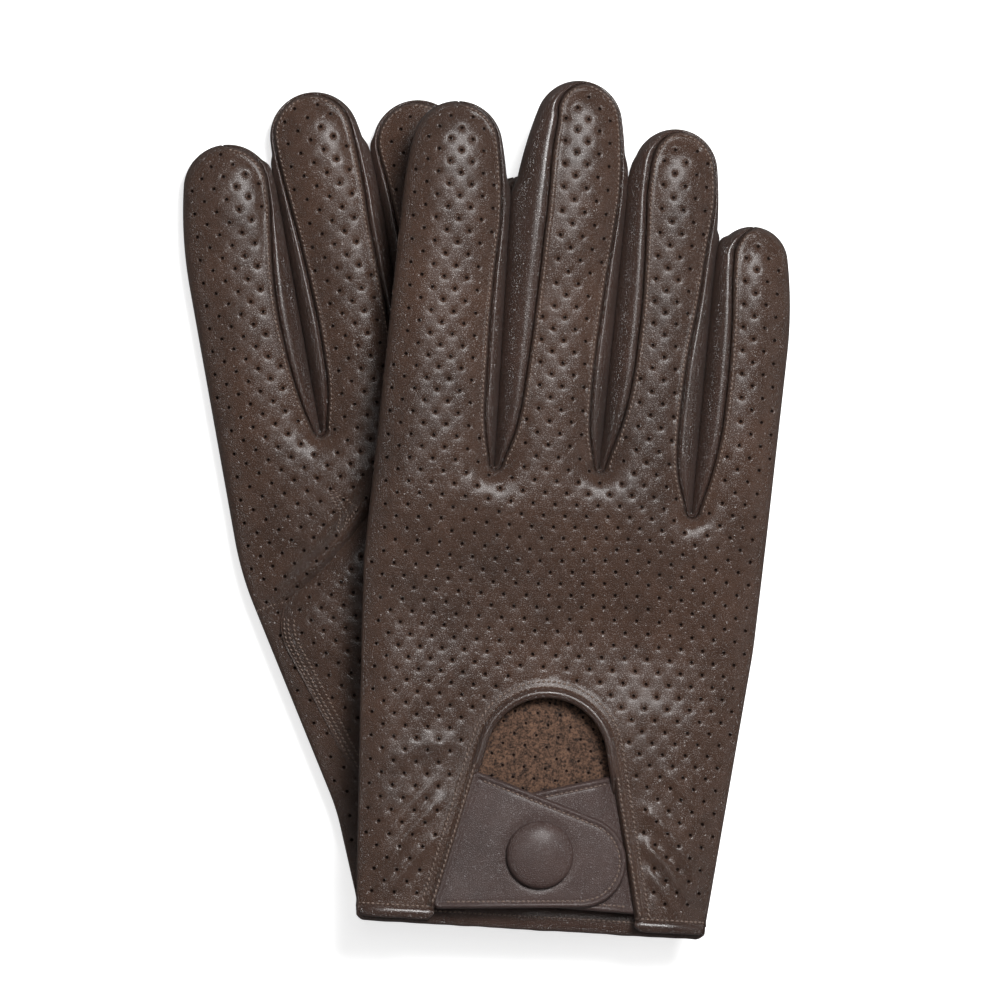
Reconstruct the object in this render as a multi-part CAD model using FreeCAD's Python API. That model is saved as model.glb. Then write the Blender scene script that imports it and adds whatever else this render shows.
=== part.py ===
import FreeCAD, Part
import math
import os

# A pair of perforated leather driving gloves laid on a table, in millimetres.
# The left glove lies palm up on the table and the right glove lies back up on top of it, so the
# two thumbs are folded between the palms. Each glove is cut from a back panel, a palm panel that
# also makes the outer side walls, three fourchettes between the fingers and a two-piece thumb.
# The wrist closes with a strap over an underlap, held by a leather-covered snap.
#
# A glove's own frame: x across the hand from the index side to the little side, y from the hem
# to the fingertips, +z out of the back of the hand. The left glove is the mirror in z of this.

leather = 1.1            # thickness of the main leather
gap = 0.3                # clearance between pieces that move apart
palmZ = -6.4             # outer face of the palm
handZ = 2.3              # outer face of the back of the hand
fingerZ = 6.0            # outer face of the back of the fingers
slopeStart = 72.0        # the back rises from the hand to the knuckles between these two
slopeEnd = 116.0
slopeRadius = 100.0
edgeRound = 4.0          # rounding of the panels' outer edges
seamDrop = 3.4           # the back panel's seam lies this far below its face
palmSeamRise = 3.4       # the fourchettes' lower seam lies this far above the palm's face
crotchRound = 0.4
sideBulge = 120.0        # radius of the gentle bulge along the side of a finger
knuckleY = 106.0         # fold line of the right glove's four fingers

thumbThick = 7.5
thumbLeather = 1.0
thumbRound = 2.2
thumbHole = 8.0          # radius of the way from the palm into the thumb

# The closure, for a glove whose "closure" offset is (0, 0).
keyhole = [(2.2, 44.5, 17.3), (31.0, -8.0, 0.5), (-28.0, -8.0, 0.5)]
strapRounds = [(-15.4, 38.2, 1.5), (13.2, 17.6, 11.8), (-23.5, 4.9, 1.5)]
underlapRounds = [(4.5, 20.5, 15.3), (27.0, 40.8, 1.5), (30.0, 7.0, 1.5)]
snapCentre = (1.7, 18.0)
bindingStart = 42.8      # the binding shows above this height
bindingOver = 1.7        # width of the keyhole binding on the panel
bindingInto = 0.8        # width of the keyhole binding inside the opening
bindingThick = 0.5
hemDepth = 4.6           # width of the hem bindings

liningThick = 0.4
strapThick = 1.0
strapZ = handZ + gap     # underside of the strap's lining
liningInset = 1.2

capRadius = 9.0
coverThick = 0.9
capRise = 1.1            # height of the metal cap's dome
socketRadius = 4.4
socketBore = 2.3
studRadius = 1.9
studFlange = 4.0
shankRadius = 1.2
snapPlate = 0.3

reach = 400.0            # longer than any cut

# Each round is (x, y, radius); a negative radius is a hollow. Each finger is its tip's round and
# the furthest x that its left and right sides reach.
rightGlove = {
    "hemIndexSide": (-44.5, 2.5),
    "indexSide": [(9.0, 96.0, 60.0)],
    "fingers": [(-31.8, 211.3, 12.5, -46.3, -16.6), (1.4, 219.4, 12.0, -16.2, 15.2),
                (28.8, 208.0, 11.7, 15.9, 41.4), (51.4, 184.2, 10.0, 40.9, 62.9)],
    "crotches": [(-16.6, 124.3), (12.4, 125.3), (38.7, 114.4)],
    "littleSide": [(-61.4, 88.0, 120.0)],
    "hemLittleSide": (45.3, 2.5),
    "closure": (0.0, 0.0),
    "hemBindings": [(-42.3, -27.6), (31.2, 43.0)],
    "thumb": [(-33.0, 62.0, 14.0), (0.0, 93.0, 10.5)],
}
leftGlove = {
    "hemIndexSide": (-31.3, 2.5),
    "indexSide": [(-95.3, 18.0, -60.0), (39.7, 104.0, 90.0)],
    "fingers": [(-35.3, 199.4, 12.3, -50.5, -22.4), (-9.3, 209.5, 12.3, -21.8, 5.3),
                (18.3, 202.3, 12.4, 5.8, 31.4), (42.9, 178.5, 10.5, 32.0, 54.2)],
    "crotches": [(-21.9, 129.2), (5.5, 129.5), (31.5, 118.5)],
    "littleSide": [],
    "hemLittleSide": (50.3, 2.5),
    "closure": (8.0, 2.0),
    "hemBindings": [(-29.5, -20.0), (39.4, 48.0)],
    "thumb": [(-27.5, 76.0, 14.5), (6.0, 108.0, 10.5)],
}

# Where each glove lies on the table: the middle of its hem, and its turns in degrees.
rightHem = (11.8, -113.9, 28.4)
rightLean = -3.3         # fingertips lean to the right
rightRoll = 6.0          # index side high, little side low
rightPitch = -1.5        # fingertips lower than the hem
rightPivot = 60.0        # the roll and pitch turn about this height up the hand
leftHem = (-1.5, -102.9, fingerZ)
leftLean = 10.0          # fingertips lean to the left
fingerNames = ["index", "middle", "ring", "little"]


def vec(x, y, z=0.0):
    return FreeCAD.Vector(x, y, z)


def belt(rounds):
    """Closed wire like a belt around rounds (x, y, radius), passed clockwise.

    A negative radius is passed on its other side, which makes a hollow curve."""
    headings = []
    for i, (x, y, r) in enumerate(rounds):
        nextX, nextY, nextR = rounds[(i + 1) % len(rounds)]
        apart = math.hypot(nextX - x, nextY - y)
        straight = math.atan2(nextY - y, nextX - x)
        headings.append(straight - math.asin(max(-1.0, min(1.0, (r - nextR) / apart))))
    edges = []
    ends = []
    for i, (x, y, r) in enumerate(rounds):
        start = headings[i - 1]
        turn = (headings[i] - start) % (2 * math.pi)
        if r >= 0:
            turn = turn - 2 * math.pi
        points = []
        for part in (0.0, 0.5, 1.0):
            angle = start + turn * part
            points.append(vec(x - r * math.sin(angle), y + r * math.cos(angle)))
        ends.append((points[0], points[2]))
        if abs(r) > 0:
            edges.append(Part.Arc(*points).toShape())
        nextRound = rounds[(i + 1) % len(rounds)]
        nextPoint = vec(nextRound[0] - nextRound[2] * math.sin(headings[i]),
                        nextRound[1] + nextRound[2] * math.cos(headings[i]))
        if points[2].distanceToPoint(nextPoint) > 0.001:
            edges.append(Part.LineSegment(points[2], nextPoint).toShape())
    return Part.Wire(edges)


def slab(rounds, low, high):
    face = Part.Face(belt(rounds))
    return face.extrude(vec(0, 0, high - low)).translated(vec(0, 0, low))


def grown(rounds, by):
    return [(x, y, r + by) for x, y, r in rounds]


def sideRound(tip, farX):
    """The large round of a finger's side, which reaches x = farX and runs on into the tip."""
    x, y, r = tip
    centreX = farX - math.copysign(sideBulge, farX - x)
    drop = math.sqrt((sideBulge - r) ** 2 - (x - centreX) ** 2)
    return (centreX, y - drop, sideBulge)


def outline(glove):
    """Plan outline of a glove's outer face, running on below the hem."""
    hemX, hemRound = glove["hemIndexSide"]
    rounds = [(hemX, -12.0, hemRound)] + glove["indexSide"]
    for i, (x, y, r, leftX, rightX) in enumerate(glove["fingers"]):
        tip = (x, y, r)
        rounds += [sideRound(tip, leftX), tip, sideRound(tip, rightX)]
        if i < 3:
            crotchX, crotchY = glove["crotches"][i]
            rounds.append((crotchX, crotchY, -crotchRound))
    hemX, hemRound = glove["hemLittleSide"]
    return rounds + glove["littleSide"] + [(hemX, -12.0, hemRound)]


def underBack(depth, low):
    """Everything between the height low and a face that lies depth below the back's face."""
    rounds = [
        (-30.0, low, 0.0),
        (-30.0, handZ - depth, 0.0),
        (slopeStart, handZ + slopeRadius, -slopeRadius - depth),
        (slopeEnd, fingerZ - slopeRadius, slopeRadius - depth),
        (reach, fingerZ - depth, 0.0),
        (reach, low, 0.0),
    ]
    prism = Part.Face(belt(rounds)).extrude(vec(0, 0, reach))
    prism.Placement = FreeCAD.Placement(vec(-reach / 2, 0, 0), FreeCAD.Rotation(vec(1, 1, 1), 120))
    return prism


def block(x0, x1, y0, y1, z0, z1):
    return Part.makeBox(x1 - x0, y1 - y0, z1 - z0, vec(x0, y0, z0))


def glovedShape(rounds, depth):
    """The solid glove at a depth below its outer face, with rounded edges."""
    low = palmZ + depth
    shape = slab(grown(rounds, -depth), low, fingerZ + 5).common(underBack(depth, low))
    wall = belt(grown(rounds, -depth))
    rim = []
    for edge in shape.Edges:
        middle = edge.valueAt((edge.FirstParameter + edge.LastParameter) / 2)
        along = edge.tangentAt((edge.FirstParameter + edge.LastParameter) / 2)
        flatMiddle = Part.Vertex(middle.x, middle.y, 0)
        if abs(along.z) < 0.9 and flatMiddle.distToShape(wall)[0] < 0.01:
            rim.append(edge)
    return shape.makeFillet(edgeRound - depth, rim)


def shell(glove):
    rounds = outline(glove)
    hollow = glovedShape(rounds, leather)
    return glovedShape(rounds, 0.0).cut(hollow).common(block(-reach, reach, 0, reach, -reach, reach))


def upright(rounds):
    """A tall prism of the outline, for cutting."""
    return slab(rounds, -reach, reach)


def moved(rounds, by):
    return [(x + by[0], y + by[1], r) for x, y, r in rounds]


def betweenFingers(glove, i):
    """Tall region from the middle of one fingertip to the next and down past the crotch."""
    crotchX, crotchY = glove["crotches"][i]
    leftX, leftY = glove["fingers"][i][:2]
    rightX, rightY = glove["fingers"][i + 1][:2]
    corners = [
        vec(leftX, reach),
        vec(leftX, leftY - 12.0),
        vec(crotchX - 11.0, crotchY - 6.0),
        vec(crotchX + 11.0, crotchY - 6.0),
        vec(rightX, rightY - 12.0),
        vec(rightX, reach),
        vec(leftX, reach),
    ]
    face = Part.Face(Part.makePolygon(corners))
    return face.extrude(vec(0, 0, 2 * reach)).translated(vec(0, 0, -reach))


def disc(at, radius, low, high):
    return Part.makeCylinder(radius, high - low, vec(at[0], at[1], low))


def dome(at, radius, low, rise):
    sphereRadius = (radius ** 2 + rise ** 2) / (2 * rise)
    ball = Part.makeSphere(sphereRadius, vec(at[0], at[1], low + rise - sphereRadius))
    return ball.common(disc(at, radius + 1, low, low + rise + 1))


def panels(glove):
    """Back panel, palm panel and the three fourchettes, cut from one shell along their seams."""
    whole = shell(glove)
    belowSeam = underBack(seamDrop, -reach / 2)
    opening = upright(moved(keyhole, glove["closure"]))
    back = whole.cut(belowSeam).cut(opening.common(block(-reach, reach, -reach, reach, handZ - 3, reach)))
    palm = whole.common(belowSeam)
    palm = palm.cut(disc(glove["thumb"][0], thumbHole, palmZ - 1, palmZ + 2 * leather))
    pieces = {}
    fourchetteZone = block(-reach, reach, 0, reach, palmZ + palmSeamRise, reach)
    for i in range(3):
        zone = betweenFingers(glove, i).common(fourchetteZone)
        pieces["fourchette_%s_%s" % (fingerNames[i], fingerNames[i + 1])] = palm.common(zone)
        palm = palm.cut(zone)
    pieces["back"] = back
    pieces["palm"] = palm
    return pieces


def splitAtKnuckles(pieces):
    """The right glove's panels as a hand part and a finger part, which fold at the knuckles."""
    hand = block(-reach, reach, -reach, knuckleY, -reach, reach)
    fingers = block(-reach, reach, knuckleY + gap, reach, -reach, reach)
    for name in ("back", "palm"):
        panel = pieces.pop(name)
        pieces[name + "_hand"] = panel.common(hand)
        pieces[name + "_fingers"] = panel.common(fingers)
    return pieces


def roundedThumb(rounds, depth):
    shape = slab(grown(rounds, -depth), palmZ - thumbThick + depth, palmZ - depth)
    rim = [edge for edge in shape.Edges if abs(edge.BoundBox.ZLength) < 0.01]
    return shape.makeFillet(thumbRound - depth, rim)


def thumb(glove):
    rounds = glove["thumb"]
    case = roundedThumb(rounds, 0.0).cut(roundedThumb(rounds, thumbLeather))
    case = case.cut(disc(rounds[0], thumbHole, palmZ - 2 * thumbLeather, palmZ + 1))
    middle = palmZ - thumbThick / 2
    return {
        "thumb_front": case.common(block(-reach, reach, -reach, reach, -reach, middle)),
        "thumb_back": case.common(block(-reach, reach, -reach, reach, middle, reach)),
    }


def channel(x0, x1, faceLow, faceHigh):
    """A hem binding, folded over the panel's edge at y = 0."""
    outer = block(x0, x1, -bindingThick, hemDepth, faceLow - bindingThick, faceHigh + bindingThick)
    return outer.cut(block(x0 - 1, x1 + 1, 0, hemDepth + 1, faceLow, faceHigh))


def bindings(glove):
    arch = moved(keyhole, glove["closure"])
    band = upright(grown(arch, bindingOver)).cut(upright(grown(arch, -bindingInto)))
    low = handZ - leather
    band = band.common(block(-reach, reach, bindingStart + glove["closure"][1], reach,
                             low - bindingThick, handZ + bindingThick))
    panelLayer = block(-reach, reach, -reach, reach, low, handZ).cut(upright(arch))
    backHems = [channel(x0, x1, low, handZ) for x0, x1 in glove["hemBindings"]]
    palmLow = glove["hemBindings"][0][0]
    palmHigh = glove["hemBindings"][1][1]
    return {
        "keyhole_binding": band.cut(panelLayer),
        "back_hem_binding": Part.makeCompound(backHems),
        "palm_hem_binding": channel(palmLow, palmHigh, palmZ, palmZ + leather),
    }


def underlap(glove):
    """The tab that lies in the opening, with the snap's stud and the post that rivets it."""
    at = (snapCentre[0] + glove["closure"][0], snapCentre[1] + glove["closure"][1])
    tab = slab(moved(underlapRounds, glove["closure"]), handZ - leather, handZ)
    tab = tab.common(upright(moved(keyhole, glove["closure"])))
    tab = tab.cut(disc(at, studFlange, handZ - snapPlate, handZ + 1))
    tab = tab.cut(disc(at, shankRadius, handZ - 2 * leather, handZ))
    stud = disc(at, studFlange, handZ - snapPlate, handZ)
    stud = stud.fuse(disc(at, studRadius, handZ, strapZ + liningThick))
    post = disc(at, studRadius + 1.6, handZ - leather - snapPlate, handZ - leather)
    post = post.fuse(disc(at, shankRadius, handZ - leather, handZ - snapPlate))
    return {"underlap": tab, "snap_stud": stud, "snap_post": post}


def strap(glove):
    """The fly strap with its lining, and the leather-covered cap riveted to its socket."""
    rounds = moved(strapRounds, glove["closure"])
    at = (snapCentre[0] + glove["closure"][0], snapCentre[1] + glove["closure"][1])
    strapLow = strapZ + liningThick
    strapHigh = strapLow + strapThick
    socketHigh = strapHigh - liningThick
    lining = slab(grown(rounds, -liningInset), strapZ, strapLow).cut(disc(at, socketRadius, 0, strapLow))
    fly = slab(rounds, strapLow, strapHigh)
    fly = fly.cut(disc(at, socketRadius, 0, socketHigh)).cut(disc(at, shankRadius, 0, strapHigh))
    cap = dome(at, capRadius - coverThick, strapHigh, capRise)
    cover = dome(at, capRadius, strapHigh, fingerZ - strapHigh).cut(cap)
    cap = cap.fuse(disc(at, shankRadius, socketHigh, strapHigh))
    socket = disc(at, socketRadius, strapZ, socketHigh)
    socket = socket.cut(disc(at, socketBore, strapZ, socketHigh - snapPlate))
    return {"strap": fly, "strap_lining": lining, "snap_cap": cap, "cap_cover": cover,
            "snap_socket": socket}


def rightPlacement():
    lean = FreeCAD.Placement(vec(*rightHem), FreeCAD.Rotation(vec(0, 0, 1), rightLean))
    pitch = FreeCAD.Placement(vec(0, rightPivot), FreeCAD.Rotation(vec(1, 0, 0), rightPitch))
    roll = FreeCAD.Placement(vec(0, 0), FreeCAD.Rotation(vec(0, 1, 0), rightRoll))
    back = FreeCAD.Placement(vec(0, -rightPivot), FreeCAD.Rotation())
    return lean * pitch * roll * back


def leftPlacement():
    return FreeCAD.Placement(vec(*leftHem), FreeCAD.Rotation(vec(0, 0, 1), leftLean))


def cutOut(glove):
    pieces = panels(glove)
    for group in (thumb(glove), bindings(glove), underlap(glove), strap(glove)):
        pieces.update(group)
    return pieces


def build():
    nodes = {}
    for name, shape in splitAtKnuckles(cutOut(rightGlove)).items():
        shape.Placement = rightPlacement() * shape.Placement
        nodes["right_" + name] = shape
    for name, shape in cutOut(leftGlove).items():
        mirrored = shape.mirror(vec(0, 0, 0), vec(0, 0, 1))
        mirrored.Placement = leftPlacement() * mirrored.Placement
        nodes["left_" + name] = mirrored
    return nodes


def footprintCentre(nodes):
    box = Part.makeCompound(list(nodes.values())).optimalBoundingBox()
    return vec(-(box.XMin + box.XMax) / 2, -(box.YMin + box.YMax) / 2, -box.ZMin)


nodes = build()
toOrigin = footprintCentre(nodes)
os.makedirs("parts", exist_ok=True)
for name, shape in nodes.items():
    shape.translated(toOrigin).exportStep("parts/" + name + ".step")
print("origin shift", toOrigin)
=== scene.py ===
import math

import bmesh
import bpy
import numpy as np
from mathutils import Matrix, Vector
from mathutils.geometry import delaunay_2d_cdt


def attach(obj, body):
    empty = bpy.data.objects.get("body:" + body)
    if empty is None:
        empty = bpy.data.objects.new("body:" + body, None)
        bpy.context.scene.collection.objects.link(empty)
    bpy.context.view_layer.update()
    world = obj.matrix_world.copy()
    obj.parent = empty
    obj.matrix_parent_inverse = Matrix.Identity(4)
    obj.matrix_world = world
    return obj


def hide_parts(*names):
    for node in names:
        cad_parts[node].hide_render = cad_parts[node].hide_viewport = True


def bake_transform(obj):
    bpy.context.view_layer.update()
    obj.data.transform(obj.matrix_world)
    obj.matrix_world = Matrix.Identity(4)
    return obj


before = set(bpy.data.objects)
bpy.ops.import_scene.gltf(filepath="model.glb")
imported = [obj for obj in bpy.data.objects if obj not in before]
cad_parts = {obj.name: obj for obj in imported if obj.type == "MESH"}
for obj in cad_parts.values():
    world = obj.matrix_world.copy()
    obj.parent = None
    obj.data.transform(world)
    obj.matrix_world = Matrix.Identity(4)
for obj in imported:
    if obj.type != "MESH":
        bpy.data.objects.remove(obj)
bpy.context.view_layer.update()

# Shapes are worked out in millimetres in each glove's own frame: x across the hand, y from the
# hem to the fingertips, z out of the back of the hand. The left glove is mirrored in z.

rightGlove = {
    "name": "right", "mirror": 1,
    "hem": (11.37, -113.87, 28.4), "lean": -3.3, "roll": 6.0, "pitch": -1.5, "pivot": 60.0,
    "hemLeft": (-44.5, 2.5), "hemRight": (45.3, 2.5),
    "indexSide": [(9.0, 96.0, 60.0)], "littleSide": [(-61.4, 88.0, 120.0)],
    "fingers": [(-31.8, 211.3, 12.5, -46.3, -16.6), (1.4, 219.4, 12.0, -16.2, 15.2),
                (28.8, 208.0, 11.7, 15.9, 41.4), (51.4, 184.2, 10.0, 40.9, 62.9)],
    "crotches": [(-16.6, 124.3), (12.4, 125.3), (38.7, 114.4)],
    "thumb": [(-33.0, 62.0, 14.0), (0.0, 93.0, 10.5)],
    "closure": (0.0, 0.0),
    "latticeTurn": 0.0,
    "capLift": 0.65, "lowest": 99.0,
    "thumbTail": [(-12.0, 62.0, 10.0)],
    "thumbStitches": [],
}
leftGlove = {
    "name": "left", "mirror": -1,
    "hem": (-1.93, -102.87, 6.0), "lean": 10.0, "roll": 0.0, "pitch": 0.0, "pivot": 60.0,
    "hemLeft": (-31.3, 2.5), "hemRight": (50.3, 2.5),
    "indexSide": [(-95.3, 18.0, -60.0), (39.7, 104.0, 90.0)], "littleSide": [],
    "fingers": [(-35.3, 199.4, 12.3, -50.5, -22.4), (-9.3, 209.5, 12.3, -21.8, 5.3),
                (18.3, 202.3, 12.4, 5.8, 31.4), (42.9, 178.5, 10.5, 32.0, 54.2)],
    "crotches": [(-21.9, 129.2), (5.5, 129.5), (31.5, 118.5)],
    "thumb": [(-27.5, 76.0, 14.5), (6.0, 108.0, 10.5)],
    "closure": (8.0, 2.0),
    "latticeTurn": -3.0,
    "capLift": -1.15, "lowest": 5.7,          # its back is pressed flat on the table
    "thumbTail": [(-19.0, 34.0, 9.5)],
    "thumbStitches": [[(-48.0, 83.2), (-43.5, 84.2), (-38.5, 84.6)],
                      [(-21.6, 112.8), (-15.4, 106.6), (-21.0, 101.0)],
                      [(-22.4, 112.0), (-20.2, 106.0), (-22.2, 100.6)],
                      [(-20.6, 111.0), (-18.2, 105.5), (-19.6, 102.6)]],
}

# How far each seam lies inside the outline, from the crotch (0) to the fingertip (1).
plainSeam = [(0, 0.5), (0.1, 3.0), (0.5, 3.4), (0.8, 1.5), (1, 0.5)]
seamInsets = {
    "rightBack": [
        [(0, 0.5), (0.05, 2.4), (0.12, 3.6), (0.35, 3.8), (0.5, 3.4), (0.63, 2.3), (0.8, 1.6), (1, 0.6)],
        [(0, 0.5), (0.065, 4.0), (0.14, 5.6), (0.31, 7.4), (0.5, 8.8), (0.62, 9.2), (0.7, 8.4),
         (0.77, 7.1), (0.85, 5.8), (0.93, 3.0), (1, 0.4)],
        [(0, 0.5), (0.07, 3.5), (0.17, 4.2), (0.27, 4.3), (0.47, 3.3), (0.66, 1.7), (0.8, 1.0), (1, 0.4)],
        [(0, 0.5), (0.08, 2.9), (0.14, 4.5), (0.25, 6.0), (0.45, 6.4), (0.62, 5.6), (0.75, 4.6),
         (0.87, 4.2), (0.94, 2.4), (1, 0.5)],
        [(0, 0.5), (0.045, 3.2), (0.1, 5.3), (0.2, 6.0), (0.37, 5.5), (0.52, 3.7), (0.66, 2.8),
         (0.77, 1.2), (1, 0.6)],
        [(0, 0.5), (0.05, 2.2), (0.12, 3.6), (0.26, 5.5), (0.45, 6.0), (0.63, 5.7), (0.74, 4.9),
         (0.85, 4.5), (0.93, 3.0), (1, 0.6)],
    ],
    "leftPalm": [
        [(0, 0.5), (0.05, 2.8), (0.12, 3.6), (0.22, 4.8), (0.4, 5.5), (0.52, 4.8), (0.62, 3.6),
         (0.72, 2.2), (0.82, 1.2), (1, 0.5)],
        [(0, 0.5), (0.06, 3.0), (0.15, 4.2), (0.3, 4.5), (0.5, 3.6), (0.65, 2.3), (0.78, 1.2), (1, 0.4)],
        [(0, 0.5), (0.07, 3.0), (0.3, 3.2), (0.55, 4.0), (0.7, 3.2), (0.82, 2.0), (1, 0.5)],
        [(0, 0.5), (0.1, 3.0), (0.5, 3.4), (0.68, 2.6), (0.8, 1.3), (1, 0.5)],
        plainSeam, plainSeam,
    ],
    "rightPalm": [plainSeam] * 6,
    "leftBack": [plainSeam] * 6,
}

shape = {
    "leather": 1.7, "palm": 6.4, "hand": 2.3, "finger": 6.0, "slope": (72.0, 116.0),
    "sideBulge": 120.0, "crotchRound": 0.4, "fingerSwell": 2.0, "swellFrom": (95.0, 135.0),
}


def sideRound(tip, farX):
    x, y, r = tip
    centreX = farX - math.copysign(shape["sideBulge"], farX - x)
    drop = math.sqrt((shape["sideBulge"] - r) ** 2 - (x - centreX) ** 2)
    return (centreX, y - drop, shape["sideBulge"])


def beltLine(rounds, step):
    # evenly stepped points of a belt around the rounds, and where each round's arc is half way
    headings = []
    for i, (x, y, r) in enumerate(rounds):
        nextX, nextY, nextR = rounds[(i + 1) % len(rounds)]
        apart = math.hypot(nextX - x, nextY - y)
        heading = math.atan2(nextY - y, nextX - x)
        headings.append(heading - math.asin(max(-1.0, min(1.0, (r - nextR) / apart))))
    points, middles = [], []
    for i, (x, y, r) in enumerate(rounds):
        start = headings[i - 1]
        bend = (headings[i] - start) % (2 * math.pi) - (2 * math.pi if r >= 0 else 0)
        count = max(2, int(abs(r * bend) / step)) * 2
        for k in range(count + 1):
            angle = start + bend * k / count
            if k == count // 2:
                middles.append(len(points))
            points.append((x - r * math.sin(angle), y + r * math.cos(angle)))
        nextX, nextY, nextR = rounds[(i + 1) % len(rounds)]
        end = points[-1]
        nextPoint = (nextX - nextR * math.sin(headings[i]), nextY + nextR * math.cos(headings[i]))
        length = math.hypot(nextPoint[0] - end[0], nextPoint[1] - end[1])
        count = int(length / step)
        for k in range(1, count):
            t = k / count
            points.append((end[0] + (nextPoint[0] - end[0]) * t, end[1] + (nextPoint[1] - end[1]) * t))
    return np.array(points), middles


def evenly(line, step, closed=False):
    if closed:
        line = np.vstack([line, line[:1]])
    lengths = np.r_[0, np.cumsum(np.linalg.norm(np.diff(line, axis=0), axis=1))]
    count = max(2, int(round(lengths[-1] / step)))
    at = np.linspace(0, lengths[-1], count + 1)
    even = np.stack([np.interp(at, lengths, line[:, k]) for k in range(line.shape[1])], 1)
    return even[:-1] if closed else even


def nearest(points, line, closed=False):
    # distance to a line, on which side (+1 is left of its direction), and how far along it
    points = np.asarray(points, float)
    a = line if closed else line[:-1]
    b = np.roll(line, -1, 0) if closed else line[1:]
    along = np.r_[0, np.cumsum(np.linalg.norm(b - a, axis=1))]
    out = [np.zeros(len(points)) for _ in range(3)]
    for start in range(0, len(points), 4000):
        p = points[start:start + 4000]
        ab = b - a
        ap = p[:, None] - a[None]
        t = np.clip((ap * ab).sum(2) / np.maximum((ab ** 2).sum(1), 1e-12), 0, 1)
        gap = ap - t[:, :, None] * ab[None]
        distance = (gap ** 2).sum(2)
        best = distance.argmin(1)
        rows = np.arange(len(p))
        cross = ab[best, 0] * ap[rows, best, 1] - ab[best, 1] * ap[rows, best, 0]
        out[0][start:start + 4000] = np.sqrt(distance[rows, best])
        out[1][start:start + 4000] = np.where(cross >= 0, 1.0, -1.0)
        out[2][start:start + 4000] = along[best] + t[rows, best] * np.linalg.norm(ab[best], axis=1)
    return out


def awayFrom(points, spots):
    # each point's distance to the nearest spot, a few thousand points at a time
    away = np.zeros(len(points))
    for start in range(0, len(points), 2000):
        part = points[start:start + 2000]
        away[start:start + 2000] = np.sqrt(((part[:, None] - spots[None]) ** 2).sum(2).min(1))
    return away


def inside(points, loop):
    points = np.asarray(points, float)
    x, y = points[:, 0], points[:, 1]
    result = np.zeros(len(points), bool)
    for (x0, y0), (x1, y1) in zip(loop, np.roll(loop, -1, 0)):
        if y0 != y1:
            crosses = ((y0 > y) != (y1 > y)) & (x < (x1 - x0) * (y - y0) / (y1 - y0) + x0)
            result ^= crosses
    return result


def smoothStep(value, low, high):
    t = np.clip((np.asarray(value, float) - low) / (high - low), 0, 1)
    return t * t * (3 - 2 * t)


def backHeight(y):
    return shape["hand"] + (shape["finger"] - shape["hand"]) * smoothStep(y, *shape["slope"])


def middleHeight(y):
    return (backHeight(y) - shape["palm"]) / 2


def gloveOutline(glove, step=1.3):
    # points up the index side, round the fingers and down the little side, with outward normals,
    # the seam stretches between crotches and tips, and the two ends at the hem
    rounds = [(glove["hemLeft"][0], -12.0, glove["hemLeft"][1])] + glove["indexSide"]
    tipAt, crotchAt = [], []
    for i, (x, y, r, leftX, rightX) in enumerate(glove["fingers"]):
        rounds.append(sideRound((x, y, r), leftX))
        tipAt.append(len(rounds))
        rounds += [(x, y, r), sideRound((x, y, r), rightX)]
        if i < 3:
            crotchAt.append(len(rounds))
            rounds.append((*glove["crotches"][i], -shape["crotchRound"]))
    rounds += glove["littleSide"] + [(glove["hemRight"][0], -12.0, glove["hemRight"][1])]
    line, middles = beltLine(rounds, step)
    apart = np.r_[1.0, np.linalg.norm(np.diff(line, axis=0), axis=1)]
    distinct = apart > 0.03
    order = np.cumsum(distinct) - 1
    tips = [order[middles[i]] for i in tipAt]
    crotches = [order[middles[i]] for i in crotchAt]
    line = line[distinct]
    keep = np.where(line[:, 1] >= 0)[0]
    first, last = keep[0], keep[-1]
    line = line[first:last + 1]
    tips = [i - first for i in tips]
    crotches = [i - first for i in crotches]
    before, after = np.vstack([line[:1], line[:-1]]), np.vstack([line[1:], line[-1:]])
    along = after - before
    along /= np.linalg.norm(along, axis=1)[:, None]
    normals = np.stack([-along[:, 1], along[:, 0]], 1)
    return {"line": line, "normals": normals, "tips": tips, "crotches": crotches}


def insetsAlong(outline, seams, outer):
    # the inset of every outline point: the six inner finger sides, then the two outer sides
    line = outline["line"]
    travel = np.r_[0, np.cumsum(np.linalg.norm(np.diff(line, axis=0), axis=1))]
    insets = np.interp(line[:, 1], [p[0] for p in outer], [p[1] for p in outer])
    for i in range(3):
        tip, crotch, nextTip = outline["tips"][i], outline["crotches"][i], outline["tips"][i + 1]
        for start, end, profile in ((tip, crotch, seams[2 * i]), (nextTip, crotch, seams[2 * i + 1])):
            low, high = min(start, end), max(start, end)
            part = np.abs(travel[low:high + 1] - travel[end]) / abs(travel[start] - travel[end])
            insets[low:high + 1] = np.interp(part, *zip(*profile))
    # the profiles' corners are smoothed over a few millimetres
    smooth = insets.copy()
    for _ in range(3):
        smooth[2:-2] = (smooth[:-4] + smooth[1:-3] + smooth[2:-2] + smooth[3:-1] + smooth[4:]) / 5
    touched = insets > 0
    return np.where(touched, smooth, insets)


def turn(axis, degrees):
    return np.array(Matrix.Rotation(math.radians(degrees), 3, axis))


def place(glove, points):
    # from a glove's own millimetres to metres in the frame
    p = np.array(points, float)
    p[:, 2] *= glove["mirror"]
    pivot = np.array([0, glove["pivot"], 0])
    p = (p - pivot) @ (turn("X", glove["pitch"]) @ turn("Y", glove["roll"])).T + pivot
    return (p @ turn("Z", glove["lean"]).T + np.array(glove["hem"])) / 1000


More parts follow.
